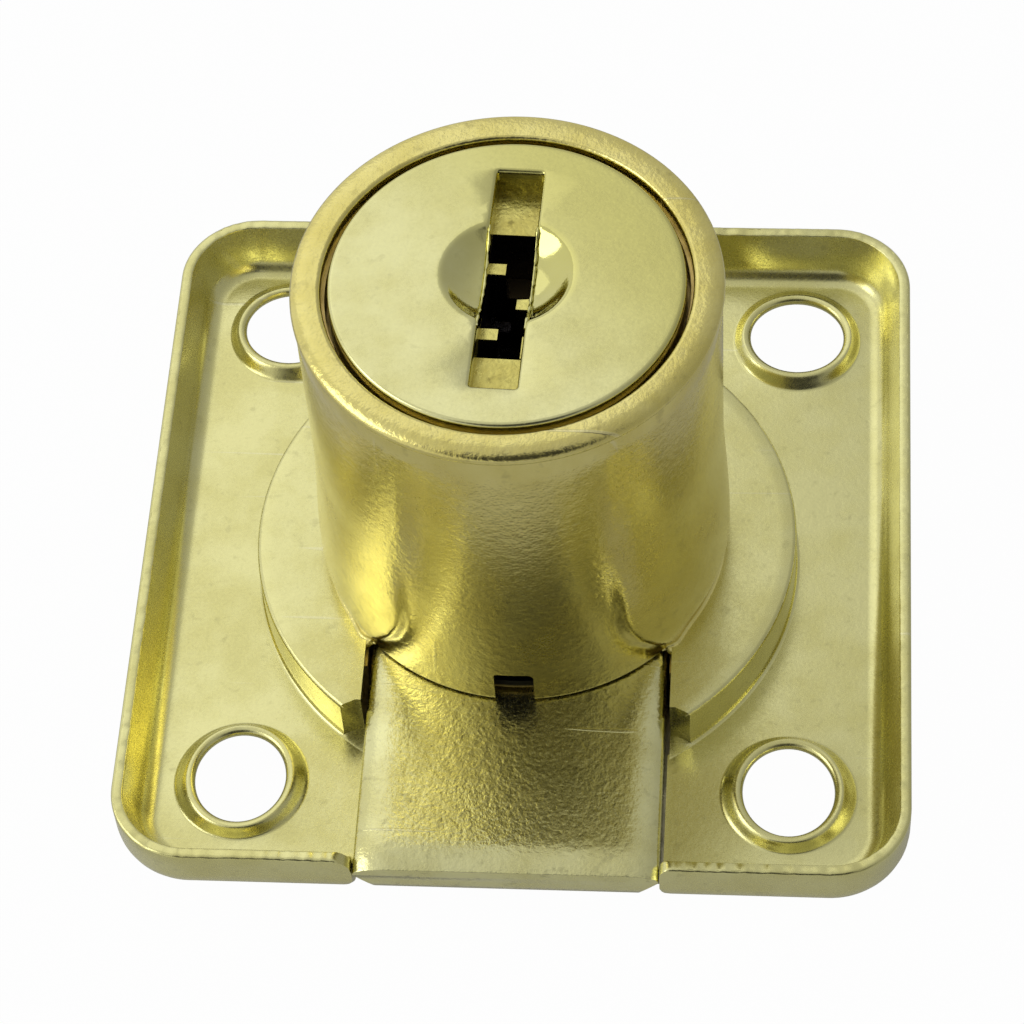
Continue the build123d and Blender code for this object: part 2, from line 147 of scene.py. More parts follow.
BOLT_HALF = 7.0
BOLT_UNDER = 1.05
BOLT_TOP = 4.26
BOLT_NOSE = -18.48
BOLT_STEP = 4.9
BOLT_TAIL = 8.2
BOLT_TAIL_TOP = 3.55
BOLT_SIDE = 1.7
BOLT_SIDE_DROP = 0.5
BOLT_NOSE_ROUND = 2.0
BOLT_NOSE_DIP = 0.26  # fall of the worn top towards the nose
BOLT_DIP_START = -16.9
BOLT_CORNER_CUT = 3.34
BOLT_LEAST_CUT = 0.08
PEG_SLOT = ((-5.1, 1.3, 0), (5.1, 5.7, 6))  # across the bolt, for the plug's drive peg

# Plug's cap, with the key guide's dimple and the key slot

CAP = 7.93
CAP_FACE = 24.05
CAP_SHEET = 0.5
CAP_EDGE = 0.2
CAP_STEPS = 180
SKIRT_END = 22.55
DIMPLE = 2.9
DIMPLE_DEPTH = 1.0
DIMPLE_RISE = 0.5
DIMPLE_LIP = 0.05  # softness of its edge
KEY_LEAN = math.radians(-2.5)
KEY_RISE = 0.2
KEY_HALF_WIDTH = 1.05
KEY_HALF_LENGTH = 6.025
KEY_CORNER = 0.12
KEY_EDGE = ((0.0, 0.14), (0.04, 0.07), (0.1, 0.02), (0.17, 0.0))  # growth and drop of the slot's worn edge

# Camera, at the photograph's angle

CAMERA_PLACE = Vector((12.285, -100.804, 151.713)) * MM
CAMERA_AIM = Vector((-0.505, -0.849, 7.43)) * MM
CAMERA_ROLL = math.radians(-4.804)
CAMERA_LENS = 130.39

# Studio

TABLE_HALF = 0.6
TABLE_GAP = 0.02 * MM
TABLE_COLOUR = (0.9, 0.9, 0.9, 1)
TABLE_WHITENESS = 0.98
TABLE_IN_METAL = 0.14  # share of the white table that metal mirrors
WALL_LIGHT = 0.38
LEFT_WALL_LIGHT = 0.47
LEFT_WALL = (-1, 0.1, 0)
LEFT_WALL_RANGE = (-0.8, 0.9)
BEHIND_CAMERA = (0.1, -0.7, 0.7)
BEHIND_RANGE = (0.8, 0.96)
BEHIND_LIGHT = 0.08  # share of the walls' light behind the camera
DIM_LIGHT = 0.28  # of the room on matt surfaces
LAMP_AIM = (0, 0, 0.01)

# Marks and painted shade in the metals, with the scales of blotches by the metre

CLOUD_SCALE = 330
CLOUD_RANGE = (0.38, 0.62)
STAIN_SCALE = 1500
STAIN_RANGE = (0.6, 0.72)
STAIN_SHADE = 0.55
DENT_SCALE = 2600
DENT_HEIGHT = 1.6
GRAIN_SCALE = 6500
DULL_RANGE = (0.3, 0.7)
HAIRLINE_SCALE = (110, 2600, 110)
HAIRLINE_RANGE = (0.80, 0.83)
HAIRLINE_TURN = 0.35
HAIRLINE_SHARE = 0.2
HAIRLINE_COLOUR = (0.9, 0.88, 0.7)
# Painted shade: the cap's face darker towards its right and rear, where less light falls on it
PAINTED_SHADE_SIDE = (1, 0.9, 0)
PAINTED_SHADE_START = -3.5
PAINTED_SHADE_FULL = 6.5
PAINTED_SHADE_COLOUR = (0.60, 0.56, 0.15)
# Painted shade, near black, on the plug inside the keyway below its ledge
PAINTED_SHADE_BRASS = (0.09, 0.08, 0.085)
# Painted shade, near black, on the liner inside the barrel's bore, up to this level
PAINTED_SHADE_ZINC = (0.02, 0.02, 0.022)
PAINTED_SHADE_TOP = 22
PLAIN_CLOUD_SCALE = 900
PLAIN_DENT_SCALE = 3000
PLAIN_RIPPLE = 0.3
LACQUER_INDEX = 1.75
BUMP_HEIGHT = 0.03 * MM


def set_camera():
    lens = bpy.data.cameras.new("photo_camera")
    lens.lens = CAMERA_LENS
    lens.sensor_width = 36
    lens.clip_start = 0.005
    lens.clip_end = 10
    camera = bpy.data.objects.new("photo_camera", lens)
    bpy.context.collection.objects.link(camera)
    turn = (CAMERA_AIM - CAMERA_PLACE).to_track_quat("-Z", "Y").to_matrix()
    roll = Matrix.Rotation(CAMERA_ROLL, 3, "Z")
    camera.matrix_world = Matrix.Translation(CAMERA_PLACE) @ (turn @ roll).to_4x4()
    bpy.context.scene.camera = camera
    bpy.context.scene.view_settings.view_transform = "Standard"


# Steps that the materials share


def new_material(name):
    """A material with one shader in it, its node tree and the shader."""
    material = bpy.data.materials.new(name)
    material.use_nodes = True
    tree = material.node_tree
    tree.nodes.clear()
    output = tree.nodes.new("ShaderNodeOutputMaterial")
    shader = tree.nodes.new("ShaderNodeBsdfPrincipled")
    tree.links.new(shader.outputs["BSDF"], output.inputs["Surface"])
    return material, tree, shader


def noise(tree, place, scale, detail=3.0, rough=0.55):
    texture = tree.nodes.new("ShaderNodeTexNoise")
    texture.inputs["Scale"].default_value = scale
    texture.inputs["Detail"].default_value = detail
    texture.inputs["Roughness"].default_value = rough
    tree.links.new(place, texture.inputs["Vector"])
    return texture.outputs["Fac"]


def spread(tree, value, low, high, to_low, to_high, smooth=False):
    """Carries a value from one range over to another."""
    step = tree.nodes.new("ShaderNodeMapRange")
    step.interpolation_type = "SMOOTHSTEP" if smooth else "LINEAR"
    step.inputs["From Min"].default_value = low
    step.inputs["From Max"].default_value = high
    step.inputs["To Min"].default_value = to_low
    step.inputs["To Max"].default_value = to_high
    tree.links.new(value, step.inputs["Value"])
    return step.outputs["Result"]


def spread_by_level(tree, place, low, high, to_low, to_high):
    """A value that changes between two levels of the lock."""
    level = tree.nodes.new("ShaderNodeSeparateXYZ")
    tree.links.new(place, level.inputs[0])
    return spread(tree, level.outputs["Z"], low * MM, high * MM, to_low, to_high)


def share_towards(tree, place, side, low, high):
    """Share, 0 to 1, to which a place or a direction lies towards one side."""
    dot = tree.nodes.new("ShaderNodeVectorMath")
    dot.operation = "DOT_PRODUCT"
    tree.links.new(place, dot.inputs[0])
    dot.inputs[1].default_value = Vector(side).normalized()
    return spread(tree, dot.outputs["Value"], low, high, 0, 1, smooth=True)


def blend_colours(tree, share, first, second):
    """Blends two colours; each is three numbers or a socket."""
    mix = tree.nodes.new("ShaderNodeMix")
    mix.data_type = "RGBA"
    for socket, colour in (("A", first), ("B", second)):
        if isinstance(colour, tuple):
            mix.inputs[socket].default_value = (*colour, 1)
        else:
            tree.links.new(colour, mix.inputs[socket])
    tree.links.new(share, mix.inputs["Factor"])
    return mix.outputs["Result"]


def combine(tree, operation, *values):
    """Joins values, sockets or numbers, by one kind of sum."""
    result = values[0]
    for value in values[1:]:
        step = tree.nodes.new("ShaderNodeMath")
        step.operation = operation
        for slot, part in enumerate((result, value)):
            if isinstance(part, (int, float)):
                step.inputs[slot].default_value = part
            else:
                tree.links.new(part, step.inputs[slot])
        result = step.outputs[0]
    return result


def hairlines(tree, place):
    """1 on a few thin scratches that run the same way, 0 elsewhere."""
    along = tree.nodes.new("ShaderNodeMapping")
    along.inputs["Rotation"].default_value = (0, 0, HAIRLINE_TURN)
    along.inputs["Scale"].default_value = HAIRLINE_SCALE
    tree.links.new(place, along.inputs["Vector"])
    return spread(tree, noise(tree, along.outputs[0], 1, 0), *HAIRLINE_RANGE, 0, 1)


def dimple_share(tree, place):
    """1 on the cap's flat, less in its dimple, which the stamp left smoother."""
    away = tree.nodes.new("ShaderNodeVectorMath")
    away.operation = "DISTANCE"
    tree.links.new(place, away.inputs[0])
    away.inputs[1].default_value = (0, DIMPLE_RISE * MM, CAP_FACE * MM)
    return spread(tree, away.outputs["Value"], DIMPLE * MM, (DIMPLE + 0.4) * MM, 0.45, 1, smooth=True)


def add_bump(tree, shader, height, strength):
    bump = tree.nodes.new("ShaderNodeBump")
    bump.inputs["Strength"].default_value = strength
    bump.inputs["Distance"].default_value = BUMP_HEIGHT
    tree.links.new(height, bump.inputs["Height"])
    tree.links.new(bump.outputs["Normal"], shader.inputs["Normal"])


# Metals


def plated_brass(name, light, deep, roughness, ripple, stained, lacquer, on_cap=False, painted_shade_below=None):
    """Brass plating under clear lacquer: faint clouds, fine specks, small ripples and a few hairlines, with
    painted shade below a level and on one side of the cap.
    """
    material, tree, shader = new_material(name)
    place = tree.nodes.new("ShaderNodeTexCoord").outputs["Object"]
    clouds = noise(tree, place, CLOUD_SCALE, 4)
    grain = noise(tree, place, GRAIN_SCALE, 2)
    dents = noise(tree, place, DENT_SCALE, 2, 0.5)
    stains = spread(tree, noise(tree, place, STAIN_SCALE, 3), *STAIN_RANGE, 0, stained)
    scratches = hairlines(tree, place)

    shade = blend_colours(tree, spread(tree, clouds, *CLOUD_RANGE, 0, 1), light, deep)
    shade = blend_colours(tree, stains, shade, tuple(STAIN_SHADE * part for part in deep))
    shade = blend_colours(tree, combine(tree, "MULTIPLY", scratches, HAIRLINE_SHARE), shade, HAIRLINE_COLOUR)
    # Painted shade: near black below a level, for the dark keyway inside the plug
    if painted_shade_below:
        keyway_painted_shade = spread_by_level(tree, place, painted_shade_below - 0.1, painted_shade_below, 1, 0)
        shade = blend_colours(tree, keyway_painted_shade, shade, PAINTED_SHADE_BRASS)
    # Painted shade: the cap darker towards one side, where less light falls
    if on_cap:
        cap_painted_shade = share_towards(tree, place, PAINTED_SHADE_SIDE, PAINTED_SHADE_START * MM, PAINTED_SHADE_FULL * MM)
        shade = blend_colours(tree, cap_painted_shade, shade, PAINTED_SHADE_COLOUR)
    tree.links.new(shade, shader.inputs["Base Color"])

    shader.inputs["Metallic"].default_value = 1
    shader.inputs["Coat Weight"].default_value = lacquer
    shader.inputs["Coat IOR"].default_value = LACQUER_INDEX
    shader.inputs["Coat Roughness"].default_value = roughness
    rough = spread(tree, clouds, *DULL_RANGE, roughness - 0.04, roughness + 0.05)
    rough = combine(tree, "ADD", rough, spread(tree, grain, *DULL_RANGE, -0.05, 0.05))
    if on_cap:
        flat = dimple_share(tree, place)
        rough = combine(tree, "MULTIPLY", rough, flat)
        tree.links.new(combine(tree, "MULTIPLY", flat, roughness), shader.inputs["Coat Roughness"])
        tree.links.new(combine(tree, "MULTIPLY", flat, lacquer), shader.inputs["Coat Weight"])
    tree.links.new(rough, shader.inputs["Roughness"])
    height = combine(tree, "ADD", grain, combine(tree, "MULTIPLY", dents, DENT_HEIGHT), scratches)
    add_bump(tree, shader, height, ripple)
    return material


def plain_metal(name, colour, roughness, painted_shade_from=None):
    """Bare or thinly plated metal, with painted shade, near black, from one level up to near the barrel's
    end.
    """
    material, tree, shader = new_material(name)
    place = tree.nodes.new("ShaderNodeTexCoord").outputs["Object"]
    clouds = noise(tree, place, PLAIN_CLOUD_SCALE, 3)
    shade = blend_colours(tree, clouds, colour, tuple(0.8 * part for part in colour))
    # Painted shade: near black between two levels, for the dark bore of the barrel
    if painted_shade_from:
        above = spread_by_level(tree, place, painted_shade_from, painted_shade_from + 0.3, 0, 1)
        below = spread_by_level(tree, place, PAINTED_SHADE_TOP - 2, PAINTED_SHADE_TOP, 1, 0)
        shade = blend_colours(tree, combine(tree, "MULTIPLY", above, below), shade, PAINTED_SHADE_ZINC)
    tree.links.new(shade, shader.inputs["Base Color"])
    shader.inputs["Metallic"].default_value = 1
    rough = spread(tree, clouds, *DULL_RANGE, roughness - 0.06, roughness + 0.08)
    tree.links.new(rough, shader.inputs["Roughness"])
    add_bump(tree, shader, noise(tree, place, PLAIN_DENT_SCALE, 3), PLAIN_RIPPLE)
    return material


# Table, room and lamps


def mirrored_rays(tree):
    """1 for what metal or glass shows, 0 for all other light."""
    path = tree.nodes.new("ShaderNodeLightPath")
    return combine(tree, "MAXIMUM", path.outputs["Is Glossy Ray"], path.outputs["Is Transmission Ray"])


def seen_share(tree, in_metal):
    """1 for what the camera sees, in_metal for what metal or glass shows, 0 for light on a matt surface."""
    path = tree.nodes.new("ShaderNodeLightPath")
    mirrored = combine(tree, "MULTIPLY", mirrored_rays(tree), in_metal)
    return combine(tree, "MAXIMUM", path.outputs["Is Camera Ray"], mirrored)


def mix_shaders(tree, share, first, second):
    both = tree.nodes.new("ShaderNodeMixShader")
    tree.links.new(share, both.inputs["Fac"])
    tree.links.new(first, both.inputs[1])
    tree.links.new(second, both.inputs[2])
    return both.outputs[0]


def set_table():
    """A plain white table that carries the lock's shadow; metal mirrors little of its white."""
    mesh = bpy.data.meshes.new("table_top")
    corners = [(-1, -1), (1, -1), (1, 1), (-1, 1)]
    points = [(x * TABLE_HALF, y * TABLE_HALF, 0) for x, y in corners]
    mesh.from_pydata(points, [], [(0, 1, 2, 3)])
    table = bpy.data.objects.new("table_top", mesh)
    bpy.context.collection.objects.link(table)
    table.location.z = cad_box[0][2] - TABLE_GAP
    material = bpy.data.materials.new("white_table")
    material.use_nodes = True
    tree = material.node_tree
    tree.nodes.clear()
    output = tree.nodes.new("ShaderNodeOutputMaterial")
    paper = tree.nodes.new("ShaderNodeBsdfDiffuse")
    paper.inputs["Color"].default_value = TABLE_COLOUR
    glow = tree.nodes.new("ShaderNodeEmission")
    glow.inputs["Color"].default_value = (1, 1, 1, 1)
    share = combine(tree, "MULTIPLY", seen_share(tree, TABLE_IN_METAL), TABLE_WHITENESS)
    both = mix_shaders(tree, share, paper.outputs[0], glow.outputs[0])
    tree.links.new(both, output.inputs["Surface"])
    mesh.materials.append(material)


def white_light(tree, strength):
    light = tree.nodes.new("ShaderNodeBackground")
    light.inputs["Color"].default_value = (1, 1, 1, 1)
    light.inputs["Strength"].default_value = strength
    return light.outputs[0]


def set_room():
    """White where the camera looks; metal sees white walls, dimmer on the right and behind the camera."""
    world = bpy.data.worlds.new("studio")
    bpy.context.scene.world = world
    world.use_nodes = True
    tree = world.node_tree
    tree.nodes.clear()
    output = tree.nodes.new("ShaderNodeOutputWorld")
    direction = tree.nodes.new("ShaderNodeTexCoord").outputs["Generated"]
    left = share_towards(tree, direction, LEFT_WALL, *LEFT_WALL_RANGE)
    behind = share_towards(tree, direction, BEHIND_CAMERA, *BEHIND_RANGE)
    walls = combine(tree, "ADD", combine(tree, "MULTIPLY", left, LEFT_WALL_LIGHT), WALL_LIGHT)
    walls = combine(tree, "MULTIPLY", walls, spread(tree, behind, 0, 1, 1, BEHIND_LIGHT))
    unseen = mix_shaders(tree, mirrored_rays(tree), white_light(tree, DIM_LIGHT), white_light(tree, 0))
    both = mix_shaders(tree, seen_share(tree, walls), unseen, white_light(tree, 1))
    tree.links.new(both, output.inputs["Surface"])


def add_lamp(name, place, size, power):
    light = bpy.data.lights.new(name, "AREA")
    light.shape = "RECTANGLE"
    light.size = size
    light.size_y = size
    light.energy = power
    lamp = bpy.data.objects.new(name, light)
    bpy.context.collection.objects.link(lamp)
    lamp.location = place
    lamp.rotation_euler = (Vector(LAMP_AIM) - Vector(place)).to_track_quat("-Z", "Y").to_euler()
    lamp.visible_camera = False


# Points and faces


def smooth_step(low, high, value):
    """Share, 0 to 1, of the way from low to high, eased at both ends."""
    share = np.clip((value - low) / (high - low), 0, 1)
    return share * share * (3 - 2 * share)


def arc(middle, radius, start, end, steps):
    """Points on an arc; angles in degrees."""
    turns = np.radians(np.linspace(start, end, steps + 1))
    return [(middle[0] + radius * math.cos(a), middle[1] + radius * math.sin(a)) for a in turns]


def ring(radius, steps, middle_y=0.0):
    """Points round a circle."""
    turns = np.linspace(0, 2 * math.pi, steps, endpoint=False)
    return [(radius * math.cos(a), middle_y + radius * math.sin(a)) for a in turns]


def round_axis(radius, turn, level):
    """A point round the barrel's axis; turn is 0 over the bolt."""
    return radius * math.sin(turn), -radius * math.cos(turn), level


def grid_faces(rows, columns, close_rows=False, close_columns=False):
    """Quads between neighbours in a grid of points kept row by row."""
    faces = []
    for row in range(rows if close_rows else rows - 1):
        for column in range(columns if close_columns else columns - 1):
            below = (row + 1) % rows
            beside = (column + 1) % columns
            corners = ((row, column), (row, beside), (below, beside), (below, column))
            faces.append(tuple(r * columns + c for r, c in corners))
    return faces


def joined(*meshes):
    """Several lots of points and faces as one."""
    points, faces = [], []
    for more_points, more_faces in meshes:
        faces += [tuple(len(points) + index for index in face) for face in more_faces]
        points += more_points
    return points, faces


def filled_sheet(loops, loose, inside_only):
    """Triangles between flat closed loops and loose places: places, their first numbers and faces."""
    places, edges = [], []
    for loop in loops:
        start, count = len(places), len(loop)
        places += loop
        edges += [(start + i, start + (i + 1) % count) for i in range(count)]
    flat = [Vector(place) for place in places + loose]
    found = delaunay_2d_cdt(flat, edges, [], int(inside_only), 1e-7)
    numbers = [origins[0] if origins else None for origins in found[3]]
    return found[0], numbers, [tuple(face) for face in found[2]]


def middle_of(points, face):
    """The middle of a face, seen from above."""
    return sum(points[i][0] for i in face) / len(face), sum(points[i][1] for i in face) / len(face)


# Pieces out of points and faces


def new_object(name, points, faces, edges=()):
    mesh = bpy.data.meshes.new(name)
    mesh.from_pydata([tuple(MM * part for part in point) for point in points], list(edges), faces)
    if faces:
        work = bmesh.new()
        work.from_mesh(mesh)
        bmesh.ops.remove_doubles(work, verts=work.verts, dist=0.001 * MM)
        bmesh.ops.recalc_face_normals(work, faces=work.faces)
        work.to_mesh(mesh)
        work.free()
    piece = bpy.data.objects.new(name, mesh)
    bpy.context.collection.objects.link(piece)
    return piece


def finish_mesh(piece, finish, hard_edge):
    """Smooth but for edges sharper than hard_edge degrees."""
    piece.data.materials.clear()
    piece.data.materials.append(finish)
    piece.data.shade_smooth()
    piece.data.set_sharp_from_angle(angle=math.radians(hard_edge))


def settle(piece):
    """Replaces a piece's modifiers with the plain mesh that they give."""
    bpy.context.view_layer.update()
    graph = bpy.context.evaluated_depsgraph_get()
    mesh = bpy.data.meshes.new_from_object(piece.evaluated_get(graph))
    piece.modifiers.clear()
    piece.data = mesh


def prism(outline, low, high):
    """A cutter: an outline stood up between two levels."""
    count = len(outline)
    points = [(x, y, z) for z in (low, high) for x, y in outline]
    faces = [tuple(range(count)), tuple(range(count, 2 * count))]
    faces += [(i, (i + 1) % count, (i + 1) % count + count, i + count) for i in range(count)]
    return new_object("cutter", points, faces)


def block(low, high):
    """A plain cutter between two corners."""
    outline = [(low[0], low[1]), (high[0], low[1]), (high[0], high[1]), (low[0], high[1])]
    return prism(outline, low[2], high[2])


def cut_away(piece, *cutters):
    for cutter in cutters:
        step = piece.modifiers.new("cut", "BOOLEAN")
        step.operation = "DIFFERENCE"
        step.solver = "EXACT"
        step.object = cutter
    settle(piece)
    for cutter in cutters:
        bpy.data.objects.remove(cutter)


def soften_edges(piece, width, angle):
    """A fine bevel on the sharp edges, as wear and plating leave them."""
    step = piece.modifiers.new("soften", "BEVEL")
    step.width = width * MM
    step.segments = 2
    step.limit_method = "ANGLE"
    step.angle_limit = math.radians(angle)
    settle(piece)


def put_on(piece, body, slot, *nodes):
    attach(piece, body)
    if nodes:
        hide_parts(*nodes)


# Geometry Nodes


def new_tree(name, sizes):
    """A node tree with named inputs; sizes gives each input's name and kind of socket."""
    tree = bpy.data.node_groups.new(name, "GeometryNodeTree")
    tree.interface.new_socket("Shape", in_out="INPUT", socket_type="NodeSocketGeometry")
    for size, kind in sizes.items():
        tree.interface.new_socket(size, in_out="INPUT", socket_type=kind)
    tree.interface.new_socket("Finish", in_out="INPUT", socket_type="NodeSocketMaterial")
    tree.interface.new_socket("Shape", in_out="OUTPUT", socket_type="NodeSocketGeometry")
    return tree, tree.nodes, tree.links, tree.nodes.new("NodeGroupInput")


def close_tree(tree, shape, given):
    """Ends a tree in Realize Instances and Set Material."""
    real = tree.nodes.new("GeometryNodeRealizeInstances")
    finish = tree.nodes.new("GeometryNodeSetMaterial")
    output = tree.nodes.new("NodeGroupOutput")
    tree.links.new(shape, real.inputs[0])
    tree.links.new(real.outputs[0], finish.inputs["Geometry"])
    tree.links.new(given.outputs["Finish"], finish.inputs["Material"])
    tree.links.new(finish.outputs[0], output.inputs[0])


def run_tree(piece, tree, values):
    """Sets a tree's inputs on a piece and keeps the plain mesh that it makes."""
    step = piece.modifiers.new("shape", "NODES")
    step.node_group = tree
    for socket in tree.interface.items_tree:
        if socket.in_out == "INPUT" and socket.name in values:
            step[socket.identifier] = values[socket.name]
    settle(piece)


def make_seat_tree():
    """Repeats one pressed screw seat at the four corners of a rectangle."""
    sizes = {"Across": "NodeSocketFloat", "Along": "NodeSocketFloat", "Middle": "NodeSocketVector"}
    tree, nodes, links, given = new_tree("four_seats", sizes)
    corners = nodes.new("GeometryNodeMeshGrid")
    corners.inputs["Vertices X"].default_value = 2
    corners.inputs["Vertices Y"].default_value = 2
    links.new(given.outputs["Across"], corners.inputs["Size X"])
    links.new(given.outputs["Along"], corners.inputs["Size Y"])
    centred = nodes.new("GeometryNodeTransform")
    links.new(corners.outputs["Mesh"], centred.inputs["Geometry"])
    links.new(given.outputs["Middle"], centred.inputs["Translation"])
    copies = nodes.new("GeometryNodeInstanceOnPoints")
    links.new(centred.outputs[0], copies.inputs["Points"])
    links.new(given.outputs["Shape"], copies.inputs["Instance"])
    close_tree(tree, copies.outputs[0], given)
    return tree


def make_burr_tree():
    """A ragged thread of metal along an edge, thick and thin by chance."""
    sizes = {"Thickness": "NodeSocketFloat", "Wander": "NodeSocketFloat", "Seed": "NodeSocketFloat"}
    tree, nodes, links, given = new_tree("edge_burr", sizes)
    line = nodes.new("GeometryNodeMeshToCurve")
    links.new(given.outputs["Shape"], line.inputs["Mesh"])
    even = nodes.new("GeometryNodeResampleCurve")
    even.mode = "LENGTH"
    even.inputs["Length"].default_value = 0.16 * MM
    links.new(line.outputs[0], even.inputs["Curve"])
    chance = nodes.new("ShaderNodeTexNoise")
    chance.noise_dimensions = "4D"
    chance.inputs["Scale"].default_value = 3600
    chance.inputs["Detail"].default_value = 2
    links.new(given.outputs["Seed"], chance.inputs["W"])
    centred = nodes.new("ShaderNodeVectorMath")
    centred.operation = "SUBTRACT"
    centred.inputs[1].default_value = (0.5, 0.5, 0.5)
    links.new(chance.outputs["Color"], centred.inputs[0])
    drift = nodes.new("ShaderNodeVectorMath")
    drift.operation = "SCALE"
    links.new(centred.outputs[0], drift.inputs[0])
    links.new(given.outputs["Wander"], drift.inputs["Scale"])
    ragged = nodes.new("GeometryNodeSetPosition")
    links.new(even.outputs[0], ragged.inputs["Geometry"])
    links.new(drift.outputs[0], ragged.inputs["Offset"])
    thick = nodes.new("ShaderNodeMapRange")
    thick.inputs["From Min"].default_value = 0.35
    thick.inputs["From Max"].default_value = 0.65
    thick.inputs["To Min"].default_value = 0.25
    links.new(chance.outputs["Fac"], thick.inputs["Value"])
    outline = nodes.new("GeometryNodeCurvePrimitiveCircle")
    outline.inputs["Resolution"].default_value = 6
    links.new(given.outputs["Thickness"], outline.inputs["Radius"])
    thread = nodes.new("GeometryNodeCurveToMesh")
    thread.inputs["Fill Caps"].default_value = True
    links.new(ragged.outputs[0], thread.inputs["Curve"])
    links.new(outline.outputs["Curve"], thread.inputs["Profile Curve"])
    links.new(thick.outputs[0], thread.inputs["Scale"])
    close_tree(tree, thread.outputs[0], given)
    return tree


# Tray


def tray_path(inset):
    """The tray's outline pushed in by inset, from the right end of its rim round to the left end."""
    reach = CASE_CORNER - inset
    side = CASE_HALF - CASE_CORNER
    front = -CASE_HALF + CASE_CORNER
    back = CASE_BACK - CASE_CORNER
    end = RIM_END + (CHANNEL_HALF - RIM_END) * inset / RIM_INSET
    # The points crowd towards the rim's end, where its top is rounded off
    crowded = np.linspace(0, 1, RIM_END_STEPS) ** 1.2
    start = [(end + step, front - reach) for step in crowded * (side - end)]
    path = start[:-1] + arc((side, front), reach, -90, 0, RIM_CORNER_STEPS)
    path += [(side + reach, y) for y in np.linspace(front, back, RIM_SIDE_STEPS)[1:-1]]
    path += arc((side, back), reach, 0, 90, RIM_CORNER_STEPS)
    path += [(x, back + reach) for x in np.linspace(side, -side, RIM_SIDE_STEPS)[1:-1]]
    path += arc((-side, back), reach, 90, 180, RIM_CORNER_STEPS)
    path += [(-side - reach, y) for y in np.linspace(back, front, RIM_SIDE_STEPS)[1:-1]]
    path += arc((-side, front), reach, 180, 270, RIM_CORNER_STEPS)
    return path + [(-x, y) for x, y in reversed(start[:-1])]


def rim_profile():
    """(inset, level) from the floor up the inner wall, over the edge and round the outer bend."""
    rows = [(RIM_INSET, FLOOR)]
    rows += arc((RIM_BEND_INSET, FLOOR + RIM_BEND), RIM_BEND, 270, 180 + RIM_LEAN, 7)
    rows += [(0.72, 3.85), (RIM_WALL, RIM_TOP - 0.1)]
    rows += arc((RIM_WALL - RIM_INNER_EDGE, RIM_TOP - 0.1), RIM_INNER_EDGE, 20, 90, 2)
    rows += [(0.35, RIM_TOP), (0.2, RIM_TOP)]
    rows += arc((RIM_OUTER_EDGE, RIM_TOP - RIM_OUTER_EDGE), RIM_OUTER_EDGE, 90, 180, 4)
    rows += [(0.0, 3.9)]
    return rows + arc((RIM_INSET, CASE_REAR + RIM_INSET), RIM_INSET, 180, 270, 9)


def rounding(away, radius):
    """How far an edge falls back at a distance from its end, for a rounded end."""
    left = max(radius - away, 0.0)
    return radius - math.sqrt(radius**2 - min(left, radius) ** 2)


def rim_end_levels(x, y):
    """Lowest and highest level of the front rim, rounded and cut near its two ends."""
    away = abs(x) - RIM_END
    low = RIM_END_UNDER + rounding(away, RIM_END_UNDER_ROUND) - CORNER_SLOPE * (y + CASE_HALF)
    high = RIM_TOP - rounding(away, RIM_END_RIGHT_ROUND if x > 0 else RIM_END_LEFT_ROUND)
    return low, high


def rim_mesh():
    """The rim, with small uneven teeth on its cut edge."""
    rows = rim_profile()
    paths = [tray_path(inset) for inset, level in rows]
    teeth = np.random.default_rng(4).uniform(0, RIM_TOOTH, len(paths[0]))
    points = []
    for index, tooth in enumerate(teeth):
        for (inset, level), path in zip(rows, paths):
            x, y = path[index]
            level -= tooth * float(smooth_step(RIM_TOP - 0.15, RIM_TOP, level))
            if y < -CASE_HALF + RIM_INSET + 0.2:
                low, high = rim_end_levels(x, y)
                level = min(max(level, low), high)
            points.append((x, y, level))
    faces = grid_faces(len(teeth), len(rows))
    last = len(points) - len(rows)
    return points, faces + [tuple(range(len(rows))), tuple(range(last, len(points)))]


def seat_profile():
    """(radius, level) of one seat: from its foot over the soft crest and down the hole to the rear."""
    rows = [(SEAT_FOOT, 0.0)]
    for radius in np.linspace(SEAT_SLOPE_FOOT - 0.04, SEAT_SLOPE_TOP + 0.02, 8):
        rows.append((radius, SEAT_RISE * float(smooth_step(SEAT_SLOPE_FOOT, SEAT_SLOPE_TOP, radius))))
    rows += arc((SEAT_HOLE + SEAT_CREST, SEAT_RISE - SEAT_CREST), SEAT_CREST, 80, 180, 5)
    rows = [(radius, FLOOR + rise) for radius, rise in rows]
    rows += [(SEAT_HOLE + 0.03, FLOOR + 0.14), (SEAT_HOLE + 0.25, FLOOR - 0.05)]
    return rows + [(SEAT_FOOT - 0.1, CASE_REAR + 0.08), (SEAT_FOOT, CASE_REAR)]


def drawn_out(x, y, z):
    """A seat's point moved a little: the front holes are longer than wide, the rear ones wider."""
    middle_x = math.copysign(SEAT_ACROSS / 2, x)
    middle_y = SEAT_MIDDLE + math.copysign(SEAT_ALONG / 2, y)
    share = float(smooth_step(SEAT_FOOT, 2.5, math.hypot(x - middle_x, y - middle_y)))
    across, along = FRONT_SEAT_DRAW if y < 0 else REAR_SEAT_DRAW
    new_x = middle_x + (x - middle_x) * (1 + across * share)
    new_y = middle_y + (y - middle_y) * (1 + along * share)
    return new_x, new_y, z


